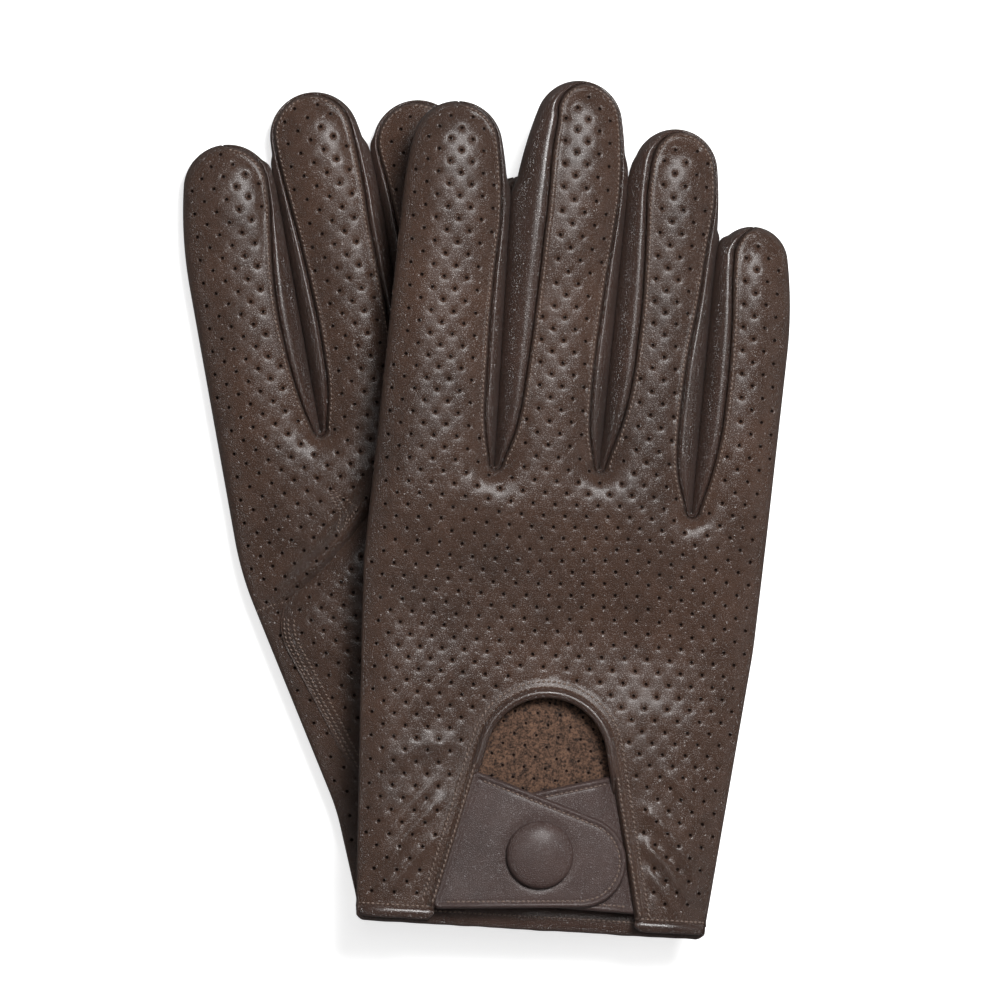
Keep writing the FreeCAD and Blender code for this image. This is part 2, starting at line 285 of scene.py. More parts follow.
def makePiece(glove, name, points, faces, materials, slots=None):
    # a piece from points in the glove's own millimetres, with its faces turned outward
    mesh = bpy.data.meshes.new(name)
    mesh.from_pydata([tuple(p) for p in place(glove, points)], [], faces)
    for material in materials:
        mesh.materials.append(material)
    if slots is not None:
        mesh.polygons.foreach_set("material_index", np.asarray(slots, np.int32))
    mesh.polygons.foreach_set("use_smooth", np.ones(len(mesh.polygons), bool))
    mesh.update()
    bm = bmesh.new()
    bm.from_mesh(mesh)
    bmesh.ops.recalc_face_normals(bm, faces=bm.faces)
    bm.to_mesh(mesh)
    bm.free()
    piece = bpy.data.objects.new(name, mesh)
    bpy.context.scene.collection.objects.link(piece)
    return piece


def settle(piece, glove, replaced, bends=False):
    # right pieces that cross the knuckles are only baked in place, tied to neither the hand nor the
    # fingers; the knuckle line is worked out but not used
    if glove["mirror"] < 0:
        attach(piece, "left_glove")
    elif bends:
        start, end = place(glove, [(8, 94, 0), (8, 118, 0)])
        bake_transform(piece)
    else:
        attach(piece, "right_hand")
    if replaced:
        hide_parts(*replaced)


class Mesh:
    # points, faces and material indices gathered from several parts
    def __init__(self):
        self.points, self.faces, self.slots, self.count = [], [], [], 0

    def add(self, points, faces, slot=0):
        self.points.append(np.asarray(points, float))
        self.faces += [tuple(int(i) + self.count for i in face) for face in faces]
        self.slots += [slot] * len(faces)
        self.count += len(points)

    def all(self):
        return np.vstack(self.points)


def sweptFaces(along, around, closed=False, capped=True):
    faces = []
    for i in range(along if closed else along - 1):
        for j in range(around):
            a, b = i * around + j, i * around + (j + 1) % around
            c, d = (i + 1) % along * around + (j + 1) % around, (i + 1) % along * around + j
            faces.append((a, b, c, d))
    if capped and not closed:
        faces.append(tuple(range(around))[::-1])
        faces.append(tuple(range((along - 1) * around, along * around)))
    return faces


def triangulate(loop, extra):
    # triangles inside the loop through all the points, and where each loop point went
    points = np.vstack([loop, extra]) if len(extra) else loop
    edges = [(i, (i + 1) % len(loop)) for i in range(len(loop))]
    found = delaunay_2d_cdt([Vector(p) for p in points], edges, [], 0, 1e-4, True)
    went = np.full(len(points), -1)
    for new, old in enumerate(found[3]):
        for i in old:
            went[i] = new
    kept = np.array([tuple(v) for v in found[0]])
    faces = np.array([f for f in found[2] if len(f) == 3])
    faces = faces[inside(kept[faces].mean(1), loop)]
    return kept, [tuple(f) for f in faces.tolist()], went


class Puff:
    # 0 at the outline rising to 1 well inside, smooth everywhere, on a grid
    def __init__(self, loop, softness, step=0.9):
        self.loop, self.softness, self.step = loop, softness, step
        self.low = loop.min(0) - 3 * step
        count = ((loop.max(0) - self.low) / step).astype(int) + 4
        xs = self.low[0] + step * np.arange(count[0])
        ys = self.low[1] + step * np.arange(count[1])
        cells = np.stack(np.meshgrid(xs, ys, indexing="ij"), 2)
        self.gap = self.distances(cells)
        within = self.fill(xs, ys)
        near = 1 - np.exp(-self.gap / softness)
        fixed = (self.gap < 1.6 * step) | ~within
        value = np.where(within, near, 0.0)
        pull = (softness / step) ** 2
        for _ in range(260):
            around = value[:-2, 1:-1] + value[2:, 1:-1] + value[1:-1, :-2] + value[1:-1, 2:]
            fresh = (pull * around + 1) / (4 * pull + 1)
            value[1:-1, 1:-1] = np.where(fixed[1:-1, 1:-1], value[1:-1, 1:-1], fresh)
        self.value = value

    def distances(self, cells, reach=9.0):
        gap = np.full(cells.shape[:2], reach)
        ends = np.roll(self.loop, -1, 0)
        for a, b in zip(self.loop, ends):
            low = ((np.minimum(a, b) - reach - self.low) / self.step).astype(int).clip(0)
            high = ((np.maximum(a, b) + reach - self.low) / self.step).astype(int) + 2
            part = cells[low[0]:high[0], low[1]:high[1]]
            ab = b - a
            t = np.clip(((part - a) @ ab) / max(ab @ ab, 1e-12), 0, 1)
            away = np.linalg.norm(part - a - t[:, :, None] * ab, axis=2)
            view = gap[low[0]:high[0], low[1]:high[1]]
            np.minimum(view, away, out=view)
        return gap

    def fill(self, xs, ys):
        within = np.zeros((len(xs), len(ys)), bool)
        a, b = self.loop, np.roll(self.loop, -1, 0)
        for j, y in enumerate(ys):
            crossing = (a[:, 1] > y) != (b[:, 1] > y)
            if crossing.any():
                p, q = a[crossing], b[crossing]
                at = np.sort(p[:, 0] + (y - p[:, 1]) / (q[:, 1] - p[:, 1]) * (q[:, 0] - p[:, 0]))
                within[:, j] = np.searchsorted(at, xs) % 2 == 1
        return within

    def read(self, grid, points):
        at = (points - self.low) / self.step
        limit = np.array(grid.shape) - 2
        cell = np.clip(at.astype(int), 0, limit)
        fx, fy = np.clip(at - cell, 0, 1).T
        i, j = cell.T
        return (grid[i, j] * (1 - fx) * (1 - fy) + grid[i + 1, j] * fx * (1 - fy)
                + grid[i, j + 1] * (1 - fx) * fy + grid[i + 1, j + 1] * fx * fy)

    def rise(self, points, gap=None):
        # gap is the exact distance to the outline where it is known, or nan
        points = np.asarray(points, float)
        rough = self.read(self.gap, points)
        near = rough if gap is None else np.where(np.isnan(gap), rough, gap)
        close = 1 - np.exp(-np.maximum(near, 0) / self.softness)
        swell = self.read(self.value, points)
        share = smoothStep(near, 1.2, 3.4)
        w = np.clip(close * (1 - share) + swell * share, 0, 1)
        return 0.55 * np.sqrt(w * (2 - w)) + 0.45 * (1 - (1 - w) ** 1.35)


waves = np.random.default_rng(7).uniform(-1, 1, (26, 4))


def unevenness(points, size, seed):
    # gentle smooth lumps of about the given size, from -1 to 1
    total = np.zeros(len(points))
    for k in range(6):
        a, b, c, d = waves[(seed * 5 + k) % len(waves)]
        length = math.hypot(a, b) + 0.3
        total += np.sin((points[:, 0] * a + points[:, 1] * b) / length * 6.28 / size + 9 * c + d * k)
    return total / 4


def ridges(points, folds):
    # folds are (x0, y0, x1, y1, height, width)
    total = np.zeros(len(points))
    for x0, y0, x1, y1, height, width in folds:
        a, ab = np.array([x0, y0]), np.array([x1 - x0, y1 - y0])
        t = ((points - a) @ ab) / (ab @ ab)
        bend = 0.05 * np.linalg.norm(ab) * np.sin(3.14 * np.clip(t, 0, 1))
        off = ((points - a) @ np.array([-ab[1], ab[0]])) / np.linalg.norm(ab) - bend
        fade = smoothStep(t, -0.1, 0.25) * (1 - smoothStep(t, 0.7, 1.1))
        total += height * np.exp(-(off / width) ** 2) * fade
    return total


class Face:
    # the outer surface of one side of a glove; sign is 1 for the back and -1 for the palm
    def __init__(self, glove, puff, sign, lumps, folds, seed):
        self.glove, self.puff, self.sign = glove, puff, sign
        self.lumps, self.folds, self.seed = lumps, folds, seed

    def height(self, points, gap=None):
        points = np.asarray(points, float)
        y = points[:, 1]
        rise = self.puff.rise(points, gap)
        middle = middleHeight(y)
        full = backHeight(y) - middle if self.sign > 0 else middle + shape["palm"]
        full = full + shape["fingerSwell"] * smoothStep(y, *shape["swellFrom"])
        fingers = smoothStep(y, 100, 140)
        detail = unevenness(points, 34, self.seed) * self.lumps * (1 - 0.5 * fingers)
        detail += unevenness(points, 13, self.seed + 3) * self.lumps * 0.22
        detail += ridges(points, self.folds)
        height = middle + self.sign * (full * rise + detail * smoothStep(rise, 0.5, 0.95))
        return np.minimum(height, self.glove["lowest"])


perforation = {
    "across": 6.16, "rows": 3.19,          # the staggered lattice
    "hole": 0.45, "depth": 0.9, "dimple": 1.2, "dimpleDepth": 0.36, "dimpleWidth": 0.8,
    "fromEdges": [2.0, 1.9, 5.4, 3.2],     # how near a hole comes to each kind of edge
}


def lattice(glove, low, high):
    a, b = perforation["across"], perforation["rows"]
    columns = np.arange(math.floor(low[0] / a) - 6, math.ceil(high[0] / a) + 7)
    rows = np.arange(math.floor(low[1] / b) - 12, math.ceil(high[1] / b) + 13)
    i, j = [v.ravel() for v in np.meshgrid(columns, rows, indexing="ij")]
    points = np.stack([(i + 0.5 * (j % 2)) * a, j * b], 1).astype(float)
    angle = math.radians(glove["latticeTurn"])
    points = points @ np.array([[math.cos(angle), math.sin(angle)], [-math.sin(angle), math.cos(angle)]])
    drift = np.stack([unevenness(points, 47, 1), unevenness(points, 41, 2)], 1)
    return points + 0.9 * drift


def loopNormals(loop):
    along = np.roll(loop, -1, 0) - np.roll(loop, 1, 0)
    along /= np.maximum(np.linalg.norm(along, axis=1), 1e-9)[:, None]
    return np.stack([-along[:, 1], along[:, 0]], 1)


def ringPoints(centres, radius, count, phase=0.0):
    angles = 2 * math.pi * (np.arange(count) + phase) / count
    circle = radius * np.stack([np.cos(angles), np.sin(angles)], 1)
    return (centres[:, None] + circle[None]).reshape(-1, 2)


hemY, edgeStep = 0.9, 1.3
plainEdge, seamEdge, openingEdge, hemEdge = range(4)


def panelLoop(outline, insets, opening):
    # the panel's edge, clockwise: up the index side, round the fingers, down and along the hem
    line = outline["line"] - outline["normals"] * insets[:, None]
    kinds = np.full(len(line), plainEdge)
    kinds[outline["tips"][0]:outline["tips"][3] + 1] = seamEdge
    keep = line[:, 1] > hemY + 0.3
    line, kinds, gaps = line[keep], kinds[keep], insets[keep]
    start, end = np.array((line[-1][0] + 0.05, hemY)), np.array((line[0][0], hemY))
    if opening is None:
        hem = evenly(np.array([start, end]), edgeStep)
        hemKinds = np.full(len(hem), hemEdge)
    else:
        cutOut = opening[opening[:, 1] > hemY + 0.2]
        toOpening = evenly(np.array([start, (cutOut[0][0], hemY)]), edgeStep)
        fromOpening = evenly(np.array([(cutOut[-1][0], hemY), end]), edgeStep)
        hem = np.vstack([toOpening, cutOut, fromOpening])
        counts = [len(toOpening), len(cutOut), len(fromOpening)]
        hemKinds = np.repeat([hemEdge, openingEdge, hemEdge], counts)
    gaps = np.r_[gaps, np.full(len(hem), np.nan)]
    return {"loop": np.vstack([line, hem]), "kinds": np.r_[kinds, hemKinds], "gaps": gaps}


edgeRows = [0.0, 0.25, 0.6, 1.0, 1.5, 2.1, 2.7, 3.4, 4.2]


def edgeShape(kind, depth):
    # how far the outer face stands out near an edge: sunk at a seam, a rib along the opening
    seam = -1.1 * np.exp(-(depth / 0.3) ** 2) + 0.36 * np.exp(-((depth - 0.9) / 0.5) ** 2)
    rib = -1.4 * np.exp(-(depth / 0.35) ** 2) + 1.6 * np.exp(-((depth - 1.15) / 0.8) ** 2)
    rib = rib + 0.25 * np.exp(-((depth - 3.2) / 0.5) ** 2) - 0.2 * np.exp(-((depth - 4.6) / 0.7) ** 2)
    return np.where(kind == seamEdge, seam, np.where(kind == openingEdge, rib, 0.0))


def rowsInside(loop, depths, least):
    # rows of points that follow the loop inside it, without those that come near another stretch
    rows, kept, rowDepths = [], [], []
    for depth in depths:
        row = loop - loopNormals(loop) * depth
        keep = nearest(row, loop, closed=True)[0] > depth * least
        rows.append(row[keep])
        kept.append(np.where(keep)[0])
        rowDepths.append(np.full(keep.sum(), depth))
    return np.vstack(rows), np.concatenate(kept), np.concatenate(rowDepths)


def spread(centres, steps):
    # the lattice's own points between its holes; a step is in parts of the lattice's spacing
    spacing = np.array([perforation["across"], perforation["rows"]])
    return np.vstack([centres + np.array(step) * spacing for step in steps])


def punch(z, toHole, sign, depth):
    # a dimple and a pit at every hole
    z = z - sign * perforation["dimpleDepth"] * np.exp(-(toHole / perforation["dimpleWidth"]) ** 2)
    z[toHole < perforation["hole"] * 0.9] -= sign * depth
    return z


betweenHoles = [(0.5, 0), (0.25, 0.5), (-0.25, 0.5), (0.32, 0.22), (-0.32, 0.22), (0.32, -0.22),
                (-0.32, -0.22), (0, 0.55), (0, -0.55)]


def perforatedPanel(glove, face, edge, window=None):
    loop, kinds, gaps = edge["loop"], edge["kinds"], edge["gaps"]
    reach = np.r_[0, np.cumsum(np.linalg.norm(np.roll(loop, -1, 0) - loop, axis=1))][:-1]

    def kindAt(along):
        return kinds[np.clip(np.searchsorted(reach, along) - 1, 0, len(loop) - 1)]

    centres = lattice(glove, loop.min(0), loop.max(0))
    centres = centres[inside(centres, loop)]
    away, _, along = nearest(centres, loop, closed=True)
    holed = away > np.choose(kindAt(along), perforation["fromEdges"])
    holes = centres[holed]

    rows, rowFrom, rowDepths = rowsInside(loop, edgeRows[1:], 0.93)
    keep = awayFrom(rows, holes) > perforation["dimple"] + 0.2
    rows, rowFrom, rowDepths = rows[keep], rowFrom[keep], rowDepths[keep]
    fill = np.vstack([spread(centres, betweenHoles), centres[~holed]])
    fill = fill[inside(fill, loop)]
    fill = fill[nearest(fill, loop, closed=True)[0] > edgeRows[-1] + 0.55]
    fill = fill[awayFrom(fill, holes) > perforation["dimple"] + 0.22]
    wall, dimple = perforation["hole"], perforation["dimple"]
    rings = np.vstack([ringPoints(holes, wall, 9), ringPoints(holes, wall * 0.8, 9),
                       ringPoints(holes, (wall + dimple) / 2, 9, 0.5), ringPoints(holes, dimple, 9), holes])
    rings = rings[inside(rings, loop)]
    points, faces, where = triangulate(loop, np.vstack([rows, fill, rings]))

    depth, _, along = nearest(points, loop, closed=True)
    kind, gap = kindAt(along), np.full(len(points), np.nan)
    rowSpots = where[len(loop):len(loop) + len(rows)]
    sources = ((kinds, np.zeros(len(loop)), gaps, where[:len(loop)]),
               (kinds[rowFrom], rowDepths, gaps[rowFrom] + rowDepths, rowSpots))
    for fromKinds, fromDepths, fromGaps, spots in sources:
        good = spots >= 0
        kind[spots[good]] = fromKinds[good]
        depth[spots[good]] = fromDepths[good]
        gap[spots[good]] = fromGaps[good]
    toHole = awayFrom(points, holes)
    z = face.height(points, gap) + face.sign * edgeShape(kind, depth)
    z = punch(z, toHole, face.sign, perforation["depth"])
    shell = Mesh()
    shell.add(np.column_stack([points, z]), faces)
    pits = (toHole[np.array(faces)] < wall * 1.05).all(1)
    shell.slots = [2 if pit else 0 for pit in pits]
    addFleshSide(shell, face, edge, centres, where, window)
    return shell


flesh = {"inset": 0.7, "pore": 0.42, "poreDepth": 0.9, "cushion": 2.6, "cushionWidth": 24.0}


def addFleshSide(shell, face, edge, centres, where, window):
    # the flesh side, a leather's thickness inside, and the rim; its pores show in the window
    loop, gaps = edge["loop"], edge["gaps"]
    innerLoop = loop - loopNormals(loop) * flesh["inset"]
    grid = centres[inside(centres, innerLoop)]
    grid = grid[nearest(grid, loop, closed=True)[0] > 1.8]
    if window is not None:
        pores = grid[inside(grid, window)]
        grid = np.vstack([grid, ringPoints(pores, flesh["pore"], 8), ringPoints(pores, 0.32, 8),
                          ringPoints(pores, 1.5, 6)])
    points, faces, went = triangulate(innerLoop, grid)
    spots = went[:len(loop)]
    gap = np.full(len(points), np.nan)
    gap[spots] = gaps + flesh["inset"]
    z = face.height(points, gap) - face.sign * shape["leather"]
    slots = [1] * len(faces)
    if window is not None:
        fromMiddle = np.linalg.norm(points - window.mean(0), axis=1)
        z -= face.sign * flesh["cushion"] * np.exp(-(fromMiddle / flesh["cushionWidth"]) ** 2)
        toPore = awayFrom(points, pores)
        z[toPore < 0.38] += face.sign * flesh["poreDepth"]
        slots = [2 if pore else 1 for pore in (toPore[np.array(faces)] < 0.44).all(1)]
    offset = shell.count
    shell.add(np.column_stack([points, z]), [tuple(reversed(f)) for f in faces])
    shell.slots[-len(faces):] = slots
    for i in range(len(loop)):
        j = (i + 1) % len(loop)
        quad = (where[i], where[j], offset + spots[j], offset + spots[i])
        if len(set(quad)) == 4:
            shell.faces.append(tuple(int(v) for v in quad))
            shell.slots.append(0)


thread = {"pitch": 1.6, "length": 1.3, "width": 0.29, "sink": 0.264, "lift": 0.07}


def threadAlong(points, gather, closed=False, lean=0.0, size=1.0, sign=1):
    # short rounded stitches along a line of 3-D points; sign is the side that they lie on
    pitch, length = thread["pitch"] * size, thread["length"] * size
    line = evenly(np.asarray(points, float), pitch / 6, closed)
    count = len(line) // 6
    sides, rings = 6, [(-0.5, 0.35), (-0.3, 0.95), (0, 1.1), (0.3, 0.95), (0.5, 0.35)]
    for k in range(count):
        i = min(k * 6 + 3, len(line) - 2)
        along = line[min(i + 1, len(line) - 1)] - line[i - 1]
        along /= np.linalg.norm(along)
        across = np.cross([0, 0, 1.0], along)
        across /= max(np.linalg.norm(across), 1e-6)
        up = np.cross(along, across) * sign
        direction = along + across * lean
        direction /= np.linalg.norm(direction)
        side = np.cross(up, direction)
        sections = []
        for t, fat in rings:
            sink = -thread["sink"] * (2 * t) ** 2
            centre = line[i] + direction * (t * length) + up * ((sink + thread["lift"]) * size)
            for s in range(sides):
                angle = 2 * math.pi * s / sides
                sections.append(centre + fat * size * thread["width"] * (
                    side * math.cos(angle) + up * math.sin(angle) * 0.8))
        gather.add(sections, sweptFaces(len(rings), sides))


def onFace(face, line, gap=None, lift=0.0):
    return np.column_stack([line, face.height(line, gap) + face.sign * lift])


def tubeAlong(points, radius, sides=14):
    line = np.asarray(points, float)
    along = np.gradient(line, axis=0)
    along /= np.linalg.norm(along, axis=1)[:, None]
    across = np.cross([0, 0, 1.0], along)
    across /= np.linalg.norm(across, axis=1)[:, None]
    up = np.cross(along, across)
    angles = 2 * math.pi * np.arange(sides) / sides
    cosines, sines = np.cos(angles)[None, :, None], np.sin(angles)[None, :, None]
    points = line[:, None] + radius * (across[:, None] * cosines + up[:, None] * sines)
    return points.reshape(-1, 3), sweptFaces(len(line), sides)


fourchetteRows = [0, 0.03, 0.08, 0.16, 0.27, 0.4, 0.53, 0.66, 0.78, 0.87, 0.94, 0.98, 1.0]


def fourchette(outline, i, backFace, palmFace, backInsets, palmInsets):
    start, end = outline["tips"][i], outline["tips"][i + 1]
    line, normals = outline["line"][start:end + 1], outline["normals"][start:end + 1]
    # where two fingers lie close, their sides swell until they touch
    turnAt = outline["crotches"][i] - start
    slit = np.zeros(len(line))
    slit[:turnAt] = nearest(line[:turnAt], line[turnAt:])[0]
    slit[turnAt:] = nearest(line[turnAt:], line[:turnAt])[0]
    swell = (0.5 * slit + 0.05) * (1 - smoothStep(slit, 1.3, 3.2))
    rows = []
    for face, insets, steps in ((backFace, backInsets, fourchetteRows),
                                (palmFace, palmInsets, fourchetteRows[::-1][1:])):
        wide = insets[start:end + 1]
        for u in steps:
            share = (1 - u) ** 1.6
            gap = wide * share
            points = line - normals * gap[:, None]
            fromSeam = wide - gap
            ample = np.clip(wide / 4.0, 0, 1)
            dip = -1.1 * np.exp(-(fromSeam / 0.4) ** 2)
            bulge = ample * (0.95 * np.sin(math.pi * (1 - share)) - 0.55 * share)
            z = face.height(points, gap) + face.sign * (dip * (gap > 0.01) + bulge) * (u < 1)
            points = points + normals * (swell * smoothStep(u, 0.45, 0.95))[:, None]
            rows.append(np.column_stack([points, z]))
    middle = middleHeight(line[:, 1])
    for k in (len(rows) - 1, len(rows) - 6, len(fourchetteRows) - 1, 5, 0):
        inner = rows[k].copy()
        inner[:, :2] -= normals * 0.9
        inner[:, 2] = middle + (inner[:, 2] - middle) * 0.82
        rows.append(inner)
    grid = np.stack(rows, 1)
    return grid.reshape(-1, 3), sweptFaces(len(line), len(rows))


hemRoll = [(1.55, -0.2), (1.35, 0.15), (0.8, 0.42), (0.1, 0.5), (-0.7, 0.38), (-1.3, 0.0), (-1.6, -0.55),
           (-1.5, -1.2), (-1.1, -1.9), (-0.4, -2.3), (1.2, -2.45), (2.8, -2.35), (4.4, -2.1),
           (4.4, -1.75), (2.4, -1.8), (0.7, -1.75), (0.7, -0.3)]


def hemStrip(face, xs, gaps, deeper=0.0):
    # a hem turned over the panel's edge; deeper moves its nose further down the wrist
    line = np.column_stack([xs, np.full(len(xs), 1.0)])
    base = face.height(line, gaps)
    section = np.array(hemRoll)
    nose = np.clip((0.5 - section[:, 0]) / 2.3, 0, 1)
    shrink = sum(np.clip(1 - part / 2.4, 0, 1) ** 2 for part in (xs - xs[0], xs[-1] - xs))
    y = section[:, 0] - deeper * nose
    rough = 0.16 * unevenness(np.column_stack([xs, xs * 0]), 5.0, 4) + 1.5 * shrink
    points = np.zeros((len(xs), len(section), 3))
    points[:, :, 0] = xs[:, None]
    points[:, :, 1] = y[None] + (rough[:, None] * nose[None])
    lift = (0.1 * rough - 0.4 * shrink)[:, None]
    points[:, :, 2] = base[:, None] + face.sign * (section[None, :, 1] + lift)
    return points.reshape(-1, 3), sweptFaces(len(xs), len(section))


def patch(loop, top, thickness, profile, spacing=1.1):
    # a closed flat piece: top gives its upper face's height, profile what its edge adds by depth
    loop = evenly(loop, 0.7, closed=True)
    normals = loopNormals(loop)
    depths = [0.15, 0.35, 0.6, 0.9, 1.2, 1.5, 1.8, 2.2, 2.8]
    rows = rowsInside(loop, depths, 0.95)[0]
    low, high = loop.min(0), loop.max(0)
    columns = np.arange(low[0], high[0], spacing)
    lines = np.arange(low[1], high[1], spacing * 0.87)
    grid = np.array([(x + (j % 2) * spacing / 2, y) for j, y in enumerate(lines) for x in columns])
    grid = grid[inside(grid, loop)]
    grid = grid[nearest(grid, loop, closed=True)[0] > depths[-1] + 0.4]
    points, faces, where = triangulate(loop, np.vstack([rows, grid]))
    depth = nearest(points, loop, closed=True)[0]
    height = top(points)
    upper = np.column_stack([points, height + np.interp(depth, *zip(*profile))])
    lower = np.column_stack([points, height - thickness])
    gather = Mesh()
    gather.add(upper, faces)
    gather.add(lower, [tuple(reversed(f)) for f in faces])
    middle = np.column_stack([loop + normals * 0.16, height[where[:len(loop)]] - thickness * 0.5])
    gather.add(middle, [])
    base = 2 * len(points)
    for i in range(len(loop)):
        j = (i + 1) % len(loop)
        a, b = int(where[i]), int(where[j])
        gather.faces.append((a, b, base + j, base + i))
        gather.faces.append((base + i, base + j, b + len(points), a + len(points)))
        gather.slots += [0, 0]
    return gather, loop, normals


def lathe(at, base, profile, segments=96):
    points, angles = [], 2 * math.pi * np.arange(segments) / segments
    for r, z in profile:
        x, y = at[0] + r * np.cos(angles), at[1] + r * np.sin(angles)
        points.append(np.column_stack([x, y, np.full(segments, base + z)]))
    return np.vstack(points), sweptFaces(len(profile), segments)


def colour(red, green, blue):
    def light(v):
        v /= 255
        return v / 12.92 if v <= 0.04045 else ((v + 0.055) / 1.055) ** 2.4
    return (light(red), light(green), light(blue), 1.0)


class Wire:
    # a socket that can be added to, multiplied and so on
    def __init__(self, finish, socket):
        self.finish, self.socket = finish, socket

    def maths(self, operation, first, second):
        return self.finish.node("ShaderNodeMath", {"operation": operation}, {0: first, 1: second})

    def __add__(self, other):
        return self.maths("ADD", self, other)

    def __sub__(self, other):
        return self.maths("SUBTRACT", self, other)

    def __rsub__(self, other):
        return self.maths("SUBTRACT", other, self)

    def __mul__(self, other):
        return self.maths("MULTIPLY", self, other)

    __radd__, __rmul__ = __add__, __mul__


class Finish:
    # one material and the nodes that make it
    def __init__(self, name):
        self.material = bpy.data.materials.new(name)
        self.material.use_nodes = True
        self.tree = self.material.node_tree
        self.shader = self.tree.nodes["Principled BSDF"]
        self.place = self.node("ShaderNodeTexCoord", {}, {}, "Object")

    def node(self, kind, settings, sockets, output=0):
        made = self.tree.nodes.new(kind)
        for key, value in settings.items():
            if key == "stops":
                while len(made.color_ramp.elements) < len(value):
                    made.color_ramp.elements.new(0.5)
                for element, (position, shade) in zip(made.color_ramp.elements, value):
                    element.position, element.color = position, shade
            else:
                setattr(made, key, value)
        self.fill(made, sockets)
        return Wire(self, made.outputs[output])

    def fill(self, made, sockets):
        for key, value in sockets.items():
            if isinstance(value, Wire):
                self.tree.links.new(value.socket, made.inputs[key])
            else:
                made.inputs[key].default_value = value

    def noise(self, scale, detail=2.0, roughness=0.5, distortion=0.0):
        return self.node("ShaderNodeTexNoise", {}, {"Vector": self.place, "Scale": scale, "Detail": detail,
                                                    "Roughness": roughness, "Distortion": distortion})

    def cells(self, scale, feature="DISTANCE_TO_EDGE"):
        sockets = {"Vector": self.place, "Scale": scale}
        return self.node("ShaderNodeTexVoronoi", {"feature": feature}, sockets)

    def between(self, value, low, high, first=0.0, second=1.0):
        return self.node("ShaderNodeMapRange", {}, {0: value, 1: low, 2: high, 3: first, 4: second})

    def mix(self, share, first, second, how="MIX"):
        return self.node("ShaderNodeMix", {"data_type": "RGBA", "blend_type": how},
                         {0: share, 6: first, 7: second}, 2)

    def bump(self, height, distance, strength=1.0, normal=None):
        sockets = {"Height": height, "Distance": distance, "Strength": strength}
        if normal is not None:
            sockets["Normal"] = normal
        return self.node("ShaderNodeBump", {}, sockets)

    def done(self, **sockets):
        self.fill(self.shader, {key.replace("_", " "): value for key, value in sockets.items()})
        return self.material


leatherLook = {
    "deep": colour(40, 24, 15), "face": colour(58, 37, 25), "dry": colour(78, 54, 41),
    "grain": 2050, "grainDepth": 0.00026, "creaseDepth": 0.00016, "rough": (0.35, 0.48), "coat": 0.13,
}


def leather(name, look):
    finish = Finish(name)
    broad = finish.noise(28, 3)
    patchy = finish.noise(160, 4, 0.6)
    pebble = finish.cells(look["grain"])
    pores = finish.noise(look["grain"] * 1.6, 2)
    crease = finish.noise(420, 5, 0.62, 0.6)
    raised = finish.between(pebble, 0.0, 0.22)
    cloudy = finish.between(broad * 0.6 + patchy * 0.4, 0.36, 0.66)
    tone = finish.mix(cloudy, look["deep"], look["face"])
    tone = finish.mix(raised * 0.16, tone, look["dry"])
    tone = finish.mix(finish.between(crease, 0.55, 0.75) * 0.14, tone, look["dry"])
    tone = finish.mix(finish.between(pores, 0.62, 0.8) * 0.35, tone, look["deep"])
    low, high = look["rough"]
    rough = finish.between(patchy * 0.5 + crease * 0.5, 0.3, 0.7, low, high)
    relief = finish.bump(crease, look["creaseDepth"], 0.5)
    relief = finish.bump(raised + pores * 0.5, look["grainDepth"], 0.7, relief)
    return finish.done(Base_Color=tone, Roughness=rough, Normal=relief, Specular_IOR_Level=0.45,
                       Coat_Weight=look["coat"], Coat_Roughness=0.26, Sheen_Weight=0.02)


panelLeather = leather("panelLeather", leatherLook)
fourchetteLeather = leather("fourchetteLeather", {
    **leatherLook, "deep": colour(35, 22, 16), "face": colour(50, 32, 25), "rough": (0.28, 0.4),
    "creaseDepth": 0.0001, "coat": 0.35})
bindingLeather = leather("bindingLeather", {
    **leatherLook, "deep": colour(38, 25, 20), "face": colour(55, 38, 31), "rough": (0.26, 0.38),
    "creaseDepth": 0.00012, "coat": 0.3})
strapLeather = leather("strapLeather", {
    **leatherLook, "deep": colour(38, 24, 21), "face": colour(51, 34, 30), "dry": colour(66, 47, 41),
    "rough": (0.46, 0.6), "creaseDepth": 0.00008, "grain": 1900, "grainDepth": 0.00014, "coat": 0.08})


def suede():
    finish = Finish("fleshSide")
    nap = finish.noise(1500, 4, 0.78)
    blotch = finish.noise(520, 4, 0.6)
    wide = finish.noise(60, 2)
    fibre = finish.between(nap * 0.7 + blotch * 0.3, 0.41, 0.6)
    tone = finish.mix(fibre, colour(14, 9, 7), colour(98, 73, 58))
    tone = finish.mix(finish.between(wide, 0.35, 0.7) * 0.2, tone, colour(58, 40, 32))
    return finish.done(Base_Color=tone, Roughness=0.95, Normal=finish.bump(nap + blotch * 0.5, 0.0004, 0.9),
                       Sheen_Weight=0.08, Sheen_Roughness=0.6, Specular_IOR_Level=0.15)


def holeShade():
    finish = Finish("holeShade")
    tone = finish.mix(finish.noise(900, 3), colour(16, 10, 8), colour(34, 23, 18))
    return finish.done(Base_Color=tone, Roughness=0.9, Specular_IOR_Level=0.1)


def threadFinish():
    finish = Finish("waxedThread")
    ply = finish.noise(3800, 2)
    tone = finish.mix(finish.between(ply, 0.35, 0.65), colour(48, 35, 29), colour(106, 87, 75))
    relief = finish.bump(ply, 0.00012, 0.8)
    return finish.done(Base_Color=tone, Roughness=0.5, Normal=relief, Sheen_Weight=0.1)


def brass():
    finish = Finish("snapBrass")
    smear = finish.noise(700, 4, 0.6, 0.4)
    tone = finish.mix(finish.between(smear, 0.3, 0.7), colour(120, 96, 62), colour(176, 146, 98))
    rough = finish.between(smear, 0.3, 0.7, 0.2, 0.42)
    relief = finish.bump(smear, 0.00003, 0.5)
    return finish.done(Base_Color=tone, Roughness=rough, Metallic=1.0, Normal=relief)


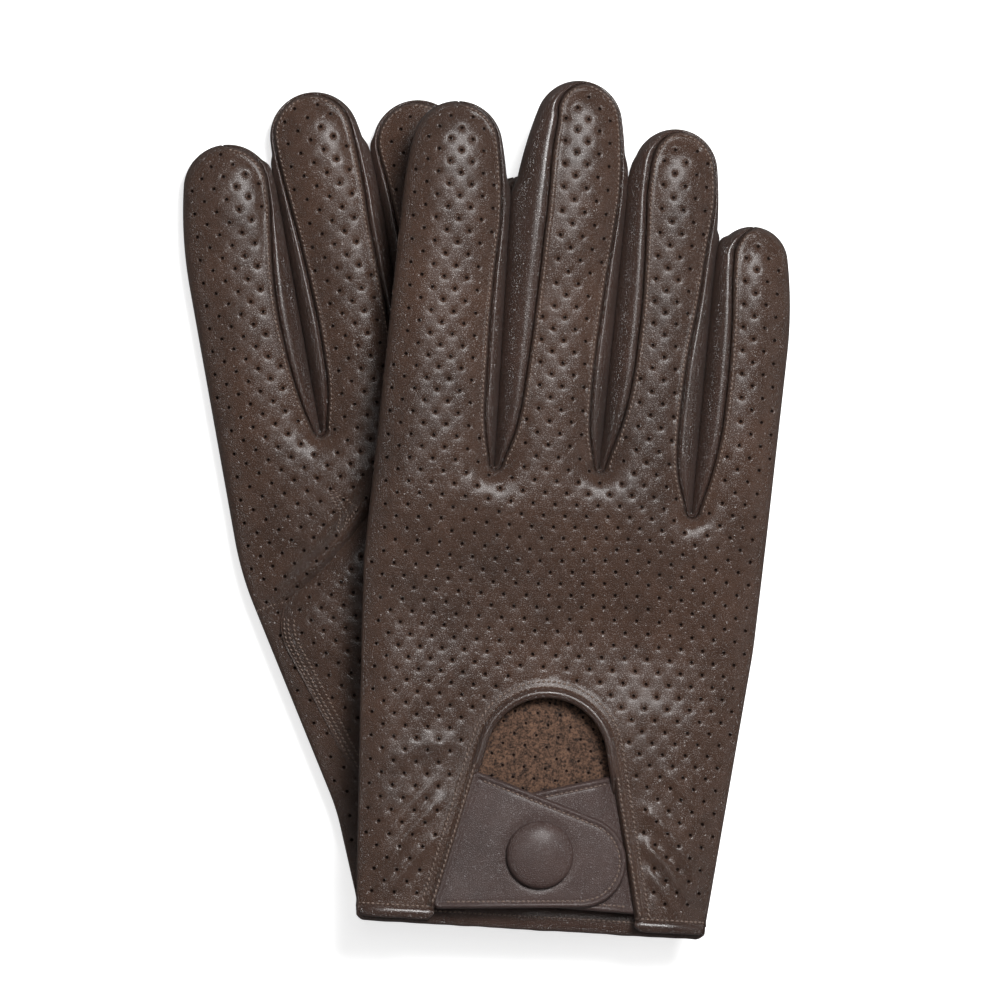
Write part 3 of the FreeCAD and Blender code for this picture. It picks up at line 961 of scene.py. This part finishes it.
fleshSide, pitShade, waxedThread, snapBrass = suede(), holeShade(), threadFinish(), brass()
print("finishes ready")


fingerNames = ["index", "middle", "ring", "little"]
outerEdge = [(0, 0.0), (300, 0.0)]
backFolds = {
    "right": [(-43, 6, -25, 33, 0.75, 1.6), (-40, 3, -24, 24, 0.6, 1.3), (-44, 13, -27, 38, 0.5, 1.8),
              (29, 24, 45, 5, 0.9, 1.5), (28, 34, 46, 14, 0.75, 1.8), (31, 16, 41, 3, 0.7, 1.2),
              (34, 44, 49, 26, 0.5, 2.0),
              (-44, 40, -22, 48, 0.4, 3.0), (24, 60, 48, 52, 0.35, 4.0), (-30, 118, -8, 108, 0.4, 5.0),
              (-12, 112, 26, 116, 0.2, 7.0)],
    "left": [(-28, 6, -18, 33, 0.6, 1.6), (38, 24, 49, 5, 0.6, 1.6)],
}
palmFolds = {
    "left": [(-48, 90, -30, 100, -0.5, 4.0), (-44, 110, -6, 116, 0.2, 7.0),
             (-6.0, 115.8, -42.0, 85.6, 4.3, 2.6), (-12, 119, -42, 95, 0.4, 3.5),
             (-49, 83.0, -36, 84.6, -0.7, 0.7)],
    "right": [(-40, 100, 40, 92, -0.6, 4.0), (-30, 60, 30, 80, -0.5, 5.0)],
}


def shiftRounds(rounds, by):
    return [(x + by[0], y + by[1], r) for x, y, r in rounds]


closure = {
    "keyhole": [(2.2, 44.5, 17.3), (31.0, -8.0, 0.5), (-28.0, -8.0, 0.5)],
    "strap": [(-15.4, 38.2, 1.5), (13.2, 16.7, 12.5), (-23.9, 3.2, 1.5)],
    "underlap": [(4.5, 19.8, 15.9), (27.0, 40.8, 1.5), (30.0, 4.8, 1.5)],
    "snap": (1.7, 18.0), "strapTop": 4.0, "underlapTop": 2.3, "stitchInset": 1.75,
    "pipingRadius": 1.34, "pipingFrom": 36.5,
}
strapEdge = [(0, -0.35), (0.15, 0.05), (0.35, 0.28), (0.6, 0.36), (0.9, 0.33), (1.2, 0.18), (1.5, -0.02),
             (1.8, -0.12), (2.2, -0.02), (2.8, 0.03), (20, 0.05)]
capProfile = [(0.0, -0.7), (7.6, -0.7), (8.6, -0.45), (9.1, 0.0), (9.3, 0.5), (9.25, 0.95), (8.95, 1.4),
              (8.4, 1.8), (7.6, 2.15), (6.6, 2.45), (5.4, 2.7), (4.0, 2.9), (2.6, 3.02), (1.3, 3.08),
              (0.0, 3.1)]


def leftLegX(y):
    # the keyhole's left edge, on which the strap is sewn
    return np.interp(y, [0, 5, 20, 38, 44], [-26.3, -24.9, -21.2, -16.6, -15.1])


def rightLegX(y):
    return np.interp(y, [0, 7, 20, 38, 44], [29.2, 27.4, 24.2, 20.4, 19.4])


def makeStrap(glove, name, at, snap):
    # the strap's leather, lining and stitches and the snap's cover all swing with the strap
    def top(points):
        fromLeg = points[:, 0] - at[0] - leftLegX(points[:, 1] - at[1])
        tuck = -1.7 * (1 - smoothStep(fromLeg, -3.0, 13.0))
        toSnap = np.linalg.norm(points - snap, axis=1)
        sag = 0.16 * unevenness(points, 17, 9) + 0.35 * np.exp(-(toSnap / 12) ** 2)
        pressed = 0.4 * np.exp(-((toSnap - 9.2) / 0.8) ** 2)
        return closure["strapTop"] + tuck + sag - pressed

    rounds = shiftRounds(closure["strap"], at)
    narrowed = [(x - (1.2 if i != 1 else 0), y, r) for i, (x, y, r) in enumerate(rounds)]
    leatherMesh, loop, normals = patch(beltLine(narrowed, 0.7)[0], top, 1.15, strapEdge)
    stitchLine = loop - normals * closure["stitchInset"]
    fromLeg = stitchLine[:, 0] - at[0] - leftLegX(stitchLine[:, 1] - at[1])
    order = np.roll(np.arange(len(stitchLine)), -np.argmax(fromLeg < 1.5))
    run = stitchLine[order][fromLeg[order] > 1.5]
    threads = Mesh()
    threadAlong(np.column_stack([run, top(run) - 0.08]), threads, size=0.86)
    inner = beltLine([(x, y, r - 1.2) for x, y, r in rounds], 0.9)[0]
    lining = patch(inner, lambda p: top(p) - 1.1, 0.35, [(0, 0), (20, 0)], 2.2)[0]

    cap, cover = Mesh(), lathe(snap, closure["strapTop"] + glove["capLift"], capProfile)
    fromSnap = cover[0][:, :2] - snap
    around, out = np.arctan2(fromSnap[:, 1], fromSnap[:, 0]), np.hypot(fromSnap[:, 0], fromSnap[:, 1])
    pleats = 0.06 * np.sin(around * 23) + 0.05 * np.sin(around * 9 + 1)
    cover[0][:, 2] += pleats * np.exp(-((out - 9.0) / 0.8) ** 2)
    cap.add(*cover)
    for label, shell, material, replaced, slot in (
            ("strap_leather", leatherMesh, strapLeather, "strap", "strap_leather"),
            ("strap_lining_suede", lining, fleshSide, "strap_lining", "lining_leather"),
            ("cap_cover_leather", cap, strapLeather, "cap_cover", "strap_leather"),
            ("strap_threads", threads, waxedThread, None, "strap_leather")):
        piece = makePiece(glove, name + "_" + label, shell.all(), shell.faces, [material])
        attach(piece, name + "_strap")
        if replaced:
            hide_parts(name + "_" + replaced)


def makeUnderlap(glove, name, at, threads):
    # the tab below the strap, sewn under the opening's right edge
    def top(points):
        toLeg = at[0] + rightLegX(points[:, 1] - at[1]) - points[:, 0]
        tuck = -1.4 * (1 - smoothStep(toLeg, -1.0, 5.0))
        return closure["underlapTop"] - 0.15 + tuck + 0.1 * unevenness(points, 15, 11)

    tab = beltLine(shiftRounds(closure["underlap"], at), 0.7)[0]
    tab[:, 0] = np.minimum(tab[:, 0], at[0] + rightLegX(tab[:, 1] - at[1]) + 2.2)
    shell, loop, normals = patch(tab, top, 1.0, strapEdge)
    piece = makePiece(glove, name + "_underlap_leather", shell.all(), shell.faces, [strapLeather])
    settle(piece, glove, [name + "_underlap"])
    line = loop - normals * closure["stitchInset"]
    line = line[line[:, 0] < at[0] + rightLegX(line[:, 1] - at[1]) - 0.8]
    apart = np.linalg.norm(np.diff(line, axis=0), axis=1)
    first = int(np.argmax(apart)) + 1 if apart.max() > 2 else 0
    line = np.roll(line, -first, 0)
    threadAlong(np.column_stack([line, top(line) - 0.08]), threads, size=0.86)


def addOpeningThreads(glove, backFace, opening, threads):
    # two rows round the opening, and a third on its rib beside the strap
    normals = loopNormals(opening)[1:-1]
    line = opening[1:-1]
    for depth, lift, lean in ((3.9, 0.1, 0.35), (2.45, 0.0, -0.25), (1.25, 1.5, 0.3)):
        run = line - normals * depth
        run = run[(run[:, 1] > 2.2) & (nearest(run, opening)[0] > depth * 0.9)]
        parts = [run]
        if depth < 2:
            low = run[run[:, 1] < 42 + glove["closure"][1]]
            split = int(np.argmax(np.linalg.norm(np.diff(low, axis=0), axis=1))) + 1
            parts = [low[:split], low[split:]]
        for part in parts:
            threadAlong(onFace(backFace, part, None, lift), threads, lean=lean, size=0.9)


def stitchSeams(face, outline, insets, threads):
    # a row of stitches just inside each finger seam
    for i in range(3):
        tip, crotch, nextTip = outline["tips"][i], outline["crotches"][i], outline["tips"][i + 1]
        for low, high in ((tip, crotch), (crotch, nextTip)):
            part = slice(low + 2, high - 2)
            gap = insets[part] + 1.0
            line = outline["line"][part] - outline["normals"][part] * gap[:, None]
            threadAlong(onFace(face, line, gap, 0.2), threads, size=0.84, sign=face.sign, lean=0.3)


thumb = {
    "soft": 6.5, "inset": 0.2, "lump": 0.35,
    "thickness": [(-40, 1.0), (-12, 2.4), (0, 3.4)],     # by the height above the thumb's first round
    "rows": [0.9, 2.0, 3.6], "seamFaces": (-0.93, -0.36),
}
betweenThumbHoles = [(0.5, 0), (0.25, 0.5), (-0.25, 0.5), (0, 0.6), (0, -0.6)]


def makeThumb(glove, name, palmFace):
    # the thumb folded flat on the palm: an outer piece with holes and a plain inner one
    rounds = glove["thumb"]
    loop = beltLine(rounds + glove["thumbTail"], 0.9)[0]
    puff = Puff(loop, thumb["soft"], 0.8)
    plainPalm = Face(glove, palmFace.puff, -1, palmFace.lumps, [], palmFace.seed)

    def surface(points, gap, outer):
        heights, thicknesses = zip(*thumb["thickness"])
        thick = np.interp(points[:, 1] - rounds[0][1], heights, thicknesses)
        rise = puff.rise(points, gap)
        lumps = thumb["lump"] * unevenness(points, 19, 13) * smoothStep(rise, 0.5, 0.95)
        middle = plainPalm.height(points) - thumb["inset"] - 0.15 * thick
        if outer:
            return middle - (0.8 * thick + lumps) * rise + 0.9 * np.exp(-np.asarray(gap) / 2.5)
        return middle + np.minimum(0.2 * thick, 1.0) * rise

    rows = rowsInside(loop, [0.2, 0.5, 0.9, 1.4, 2.0, 2.8], 0.93)[0]
    centres = lattice(glove, loop.min(0), loop.max(0))
    centres = centres[inside(centres, loop)]
    holes = centres[nearest(centres, loop, closed=True)[0] > 3.9]
    fill = spread(centres, betweenThumbHoles)
    fill = fill[inside(fill, loop)]
    fill = fill[nearest(fill, loop, closed=True)[0] > 3.3]
    wall = perforation["hole"]
    rings = [ringPoints(holes, wall, 9), ringPoints(holes, wall * 0.8, 9),
             ringPoints(holes, perforation["dimple"], 9), holes]
    for label, outer, node in (("outer", True, "front"), ("inner", False, "back")):
        points, faces, _ = triangulate(loop, np.vstack([rows, fill] + (rings if outer else [])))
        z = surface(points, nearest(points, loop, closed=True)[0], outer)
        slots = np.zeros(len(faces), int)
        if outer:
            toHole = awayFrom(points, holes)
            z = punch(z, toHole, -1, 0.8)
            slots = np.where((toHole[np.array(faces)] < wall * 1.05).all(1), 1, 0)
        piece = makePiece(glove, "%s_thumb_%s_leather" % (name, label), np.column_stack([points, z]), faces,
                          [panelLeather, pitShade], slots)
        settle(piece, glove, ["%s_thumb_%s" % (name, node)])

    # close rows where the thumb is set into the palm, and none where the palm folds over it
    threads, outwards = Mesh(), loopNormals(loop)
    sewn = outwards @ np.array(thumb["seamFaces"]) > 0.75
    for depth in thumb["rows"]:
        run = (loop - outwards * depth)[sewn]
        run = run[np.argsort(-run[:, 1])]
        lie = surface(run, np.full(len(run), depth), True) - 0.08
        threadAlong(np.column_stack([run, lie]), threads, size=0.78, sign=-1, lean=0.5)
    for line in glove["thumbStitches"]:
        line = evenly(np.array(line), 1.0)
        threadAlong(onFace(palmFace, line, None, 0.05), threads, size=0.7, sign=-1, lean=0.6)
    piece = makePiece(glove, name + "_thumb_threads", threads.all(), threads.faces, [waxedThread])
    settle(piece, glove, [])


def makeHem(glove, name, side, face, outline, threads):
    # the turned hem, in two lengths beside the opening or in one across the palm, and its stitches
    leftX, rightX = outline["line"][0][0] + 0.2, outline["line"][-1][0] - 0.2
    spans = [(leftX, rightX)]
    if side == "back":
        across, up = glove["closure"]
        spans = [(leftX, across + leftLegX(2.0 - up) - 0.6), (across + rightLegX(2.0 - up) + 0.6, rightX)]
    hem = Mesh()
    for x0, x1 in spans:
        share = np.linspace(0, 1, int((x1 - x0) / 0.9))
        xs = x0 + (x1 - x0) * (0.5 - 0.5 * np.cos(math.pi * share))
        toEdge = np.minimum(xs - leftX, rightX - xs) + 0.2
        gaps = np.where(toEdge < 4, toEdge, np.nan)
        hem.add(*hemStrip(face, xs, gaps, 0.0 if side == "back" else 1.2))
        row = np.column_stack([xs, np.full(len(xs), 2.0)])
        threadAlong(onFace(face, row, gaps, 0.02), threads, size=0.86, sign=face.sign)
        if side == "palm":
            lip = np.column_stack([xs, np.full(len(xs), 1.0)])
            threadAlong(onFace(face, lip, gaps, -2.45), threads, size=0.86)
    piece = makePiece(glove, "%s_%s_hem" % (name, side), hem.all(), hem.faces, [bindingLeather])
    settle(piece, glove, ["%s_%s_hem_binding" % (name, side)])


def makePiping(glove, name, backFace, opening):
    # the cord-filled piping that shows round the top of the opening
    up = glove["closure"][1]
    line = (opening - loopNormals(opening) * 0.7)[1:-1]
    line = evenly(line[line[:, 1] > closure["pipingFrom"] + up], 0.7)
    ends = np.minimum(np.arange(len(line)), np.arange(len(line))[::-1])
    z = backFace.height(line) + 0.3
    z = z - 0.5 * np.exp(-ends / 3.0) - 2.2 * (1 - smoothStep(line[:, 1] - up, 36, 42.5))
    points, faces = tubeAlong(np.column_stack([line, z]), closure["pipingRadius"])
    piece = makePiece(glove, name + "_keyhole_piping", points, faces, [bindingLeather])
    settle(piece, glove, [name + "_keyhole_binding"])


def keyholeLine(glove):
    # the opening's edge from its right foot over the top to its left foot
    opening = beltLine(shiftRounds(closure["keyhole"], glove["closure"]), 0.8)[0][::-1]
    foot = np.array(closure["keyhole"][1][:2]) + [glove["closure"][0], 0]
    first = int(np.argmin(np.linalg.norm(opening - foot, axis=1)))
    opening = np.roll(opening, -first, 0)
    return opening[opening[:, 1] > 0]


coveredNodes = {
    "right_back": ["right_back_hand", "right_back_fingers"], "left_back": ["left_back"],
    "right_palm": ["right_palm_hand", "right_palm_fingers"], "left_palm": ["left_palm"],
}


def makeGlove(glove):
    name = glove["name"]
    outline = gloveOutline(glove)
    belt = outline["line"]
    skirt = evenly(np.array([belt[-1], (belt[-1][0], -16.0), (belt[0][0], -16.0), belt[0]]), 1.5)[1:-1]
    puff = Puff(np.vstack([belt, skirt]), 7.0)
    seed = 1 if name == "right" else 2
    backFace = Face(glove, puff, 1, 0.55, backFolds[name], seed)
    palmFace = Face(glove, puff, -1, 0.5, palmFolds[name], seed + 2)
    opening = keyholeLine(glove)
    window = opening[opening[:, 1] > 15]
    insets = {}
    for side in ("back", "palm"):
        insets[side] = insetsAlong(outline, seamInsets[name + side.title()], outerEdge)
    for side, face, hole, seen in (("back", backFace, opening, None), ("palm", palmFace, None, window)):
        shell = perforatedPanel(glove, face, panelLoop(outline, insets[side], hole), seen)
        piece = makePiece(glove, "%s_%s_leather" % (name, side), shell.all(), shell.faces,
                          [panelLeather, fleshSide, pitShade], shell.slots)
        settle(piece, glove, coveredNodes[name + "_" + side], bends=True)
        print(name, side, "panel has", len(shell.faces), "faces")
        threads = Mesh()
        stitchSeams(face, outline, insets[side], threads)
        if side == "back":
            at = np.array(glove["closure"])
            addOpeningThreads(glove, face, opening, threads)
            makeStrap(glove, name, at, at + closure["snap"])
            makeUnderlap(glove, name, at, threads)
        makeHem(glove, name, side, face, outline, threads)
        threadsName = "%s_%s_threads" % (name, side)
        piece = makePiece(glove, threadsName, threads.all(), threads.faces, [waxedThread])
        settle(piece, glove, [], bends=True)

    for i in range(3):
        points, faces = fourchette(outline, i, backFace, palmFace, insets["back"], insets["palm"])
        label = "%s_fourchette_%s_%s" % (name, fingerNames[i], fingerNames[i + 1])
        piece = makePiece(glove, label + "_leather", points, faces, [fourchetteLeather])
        settle(piece, glove, [label], bends=True)
    makePiping(glove, name, backFace, opening)
    makeThumb(glove, name, palmFace)
    print(name, "glove made")


makeGlove(leftGlove)
makeGlove(rightGlove)

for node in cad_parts.values():
    if not node.hide_render:
        node.data.materials.clear()
        node.data.materials.append(snapBrass)
        print("kept from the model:", node.name)


def makeFloor():
    mesh = bpy.data.meshes.new("paleFloor")
    mesh.from_pydata([(-6, -6, 0), (6, -6, 0), (6, 6, 0), (-6, 6, 0)], [], [(0, 1, 2, 3)])
    finish = Finish("paleFloor")
    tone = finish.mix(finish.noise(2.0, 2), colour(205, 205, 205), colour(209, 209, 209))
    mesh.materials.append(finish.done(Base_Color=tone, Roughness=0.9, Specular_IOR_Level=0.1,
                                      Emission_Color=tone, Emission_Strength=1.08))
    floor = bpy.data.objects.new("paleFloor", mesh)
    floor.location.z = -0.0005
    bpy.context.scene.collection.objects.link(floor)
    floor.visible_glossy = False      # the gloves' sides don't mirror the bright floor


lamps = [
    # name, place, size, power
    ("keyLight", (0.38, 0.52, 1.42), 0.45, 39),
    ("topLight", (-0.02, 0.25, 2.4), 0.5, 7),
    ("sideLight", (1.3, -0.2, 0.9), 0.8, 3.5),
    ("backFill", (-1.2, -0.6, 1.1), 1.0, 2),
]


def makeLights():
    for name, at, size, power in lamps:
        light = bpy.data.lights.new(name, "AREA")
        light.size, light.energy = size, power
        lamp = bpy.data.objects.new(name, light)
        lamp.location = at
        lamp.rotation_euler = (-Vector(at)).to_track_quat("-Z", "Y").to_euler()
        bpy.context.scene.collection.objects.link(lamp)
    world = bpy.data.worlds.new("studio")
    world.use_nodes = True
    world.node_tree.nodes["Background"].inputs["Color"].default_value = (1, 1, 1, 1)
    world.node_tree.nodes["Background"].inputs["Strength"].default_value = 0.12
    bpy.context.scene.world = world


def makeCamera():
    # straight overhead through a very long lens, 275 mm across the view
    settings = {"over": (0.00365, 0.0016), "height": 8.0, "width": 0.275, "level": 0.03}
    camera = bpy.data.cameras.new("overhead")
    camera.sensor_width = 36
    camera.lens = 36 * (settings["height"] - settings["level"]) / settings["width"]
    camera.clip_start, camera.clip_end = 0.1, 40
    shown = bpy.data.objects.new("overhead", camera)
    shown.location = (*settings["over"], settings["height"])
    bpy.context.scene.collection.objects.link(shown)
    bpy.context.scene.camera = shown


makeFloor()
makeLights()
makeCamera()
print("floor, lamps and camera ready")
bpy.context.scene.view_settings.view_transform = "Standard"
